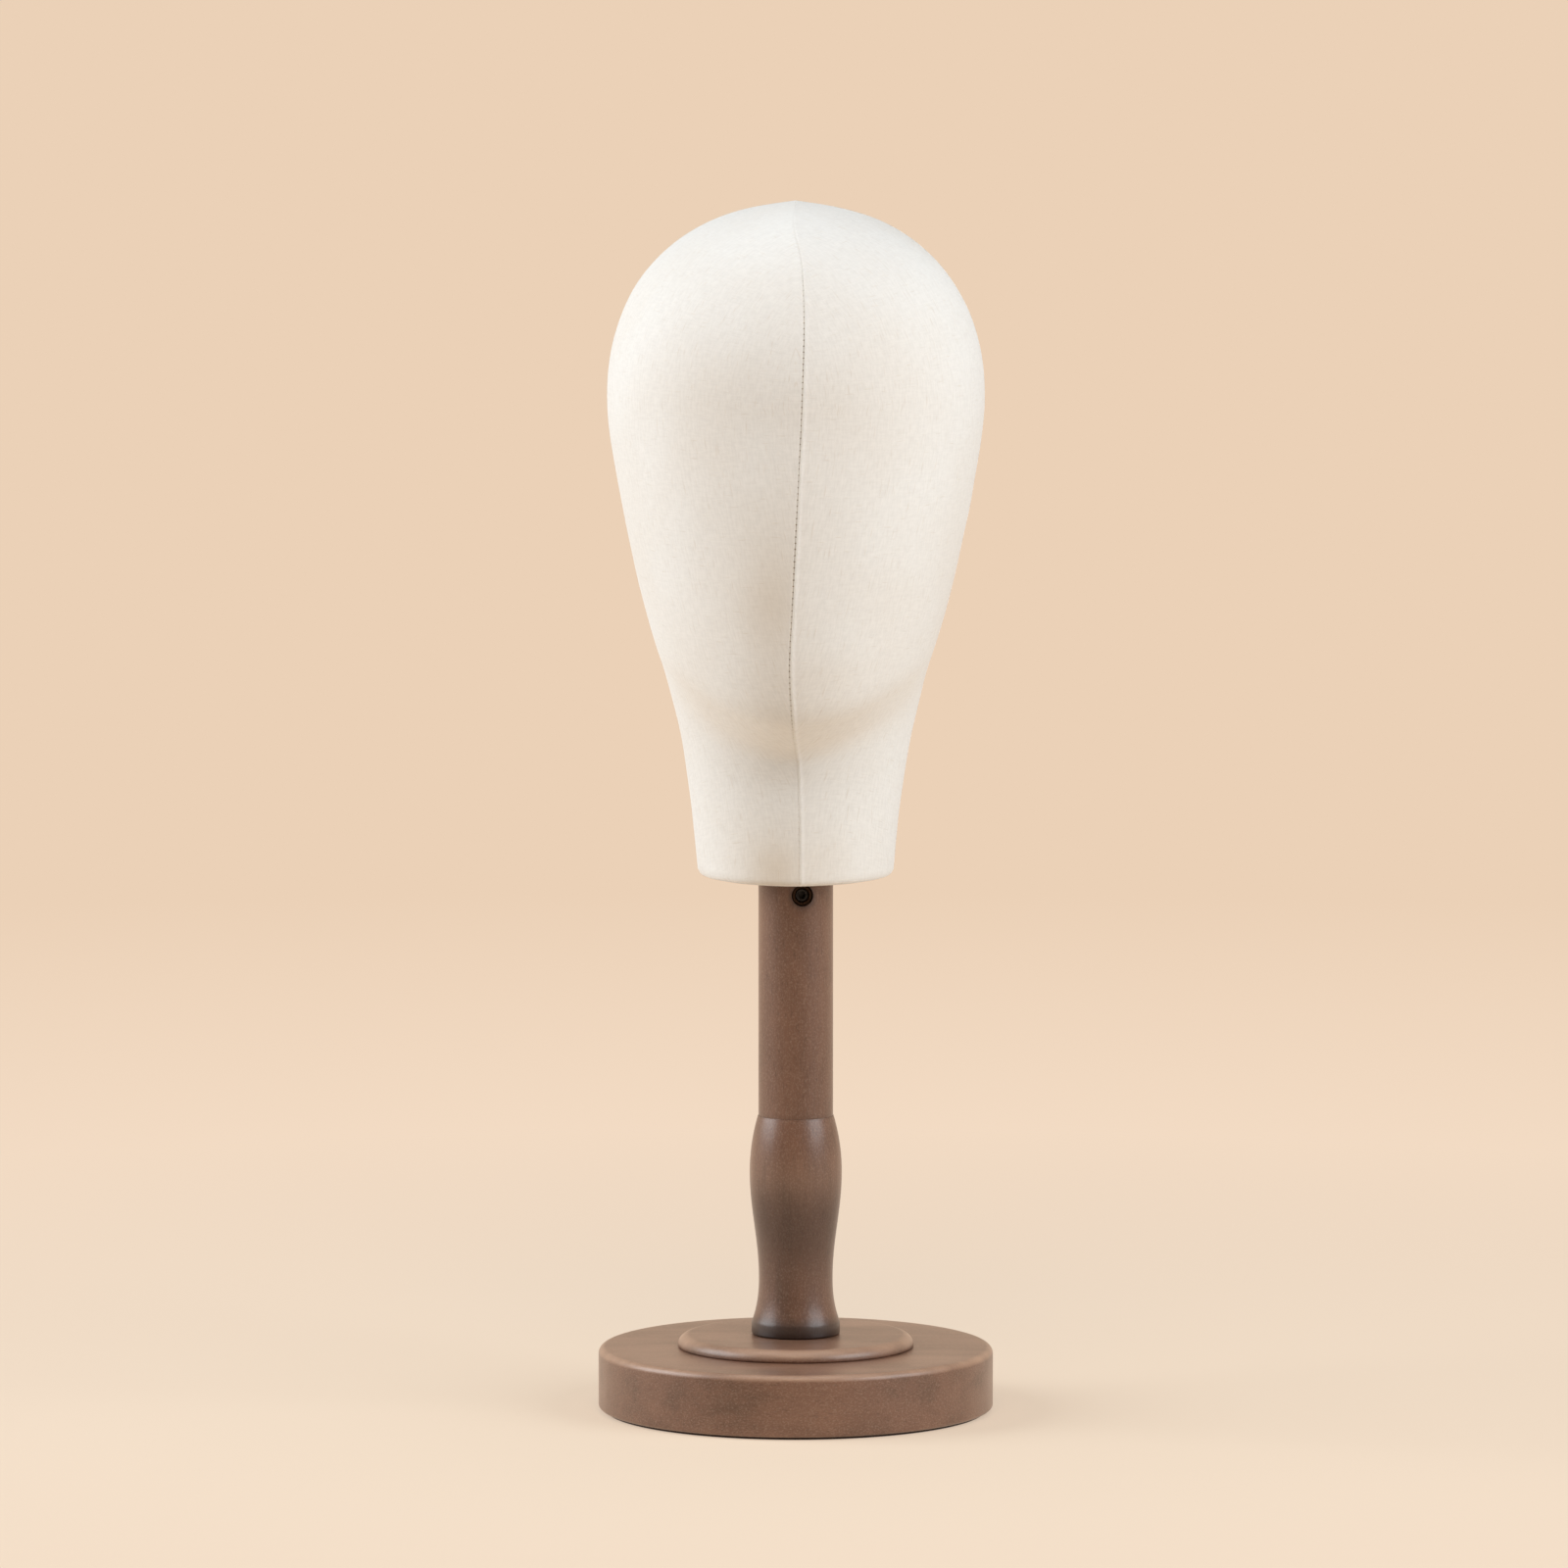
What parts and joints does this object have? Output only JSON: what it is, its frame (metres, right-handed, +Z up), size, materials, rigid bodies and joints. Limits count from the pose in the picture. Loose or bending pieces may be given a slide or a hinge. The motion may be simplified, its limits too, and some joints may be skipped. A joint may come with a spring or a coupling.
{
  "type": "mannequin head",
  "caption": "Faceless linen-covered display head with a front seam, which lifts and turns on a turned wooden post with a stepped round base.",
  "frame": {"origin": "middle of the base's underside, on the axis of the post", "axes": "+Z up along the post, -Y towards where the face would look, +X to the right of a viewer in front"},
  "size_m": [0.168, 0.1955, 0.5145],
  "materials": {
    "linen": "undyed slubby plain-weave linen, stretched and sewn",
    "wadding": "thin white cotton wadding",
    "papier_mache": "layered paper pulp, dry and rough",
    "stained_wood": "turned beech, brown stain, satin lacquer",
    "plain_wood": "bare sawn board",
    "steel": "bright zinc-plated steel",
    "blackened_steel": "blackened, slightly worn",
    "brass": "plain drawn brass",
    "felt": "dark brown pressed felt"
  },
  "bodies": {
    "stand": {"felt_pad": "felt", "base_disc": "stained_wood", "step_disc": "stained_wood", "post": "stained_wood", "guide_sleeve": "brass", "lock_insert": "blackened_steel", "foot_insert": "brass", "base_washer": "steel", "base_bolt": "steel"},
    "lock": {"lock_screw": "blackened_steel"},
    "rod": {"neck_rod": "steel"},
    "head": {"cover_right": "linen", "cover_left": "linen", "padding": "wadding", "head_shell": "papier_mache", "neck_cloth": "linen", "neck_board": "plain_wood", "rod_flange": "steel", "flange_screw_1": "steel", "flange_screw_2": "steel", "flange_screw_3": "steel", "flange_screw_4": "steel", "board_nail_1": "steel", "board_nail_2": "steel", "board_nail_3": "steel", "board_nail_4": "steel"}
  },
  "joints": [
    {"name": "head_height", "type": "slide", "parent": "stand", "child": "rod", "axis": [0, 0, 1], "range_m": [0, 0.08]},
    {"name": "head_swivel", "type": "hinge", "parent": "rod", "child": "head", "pos_m": [0, 0, 0.2286], "axis": [0, 0, 1], "continuous": true},
    {"name": "lock_turn", "type": "hinge", "parent": "stand", "child": "lock", "pos_m": [0, 0, 0.2219], "axis": [0.1839, -0.9829, 0], "range_deg": [0, 720]}
  ]
}
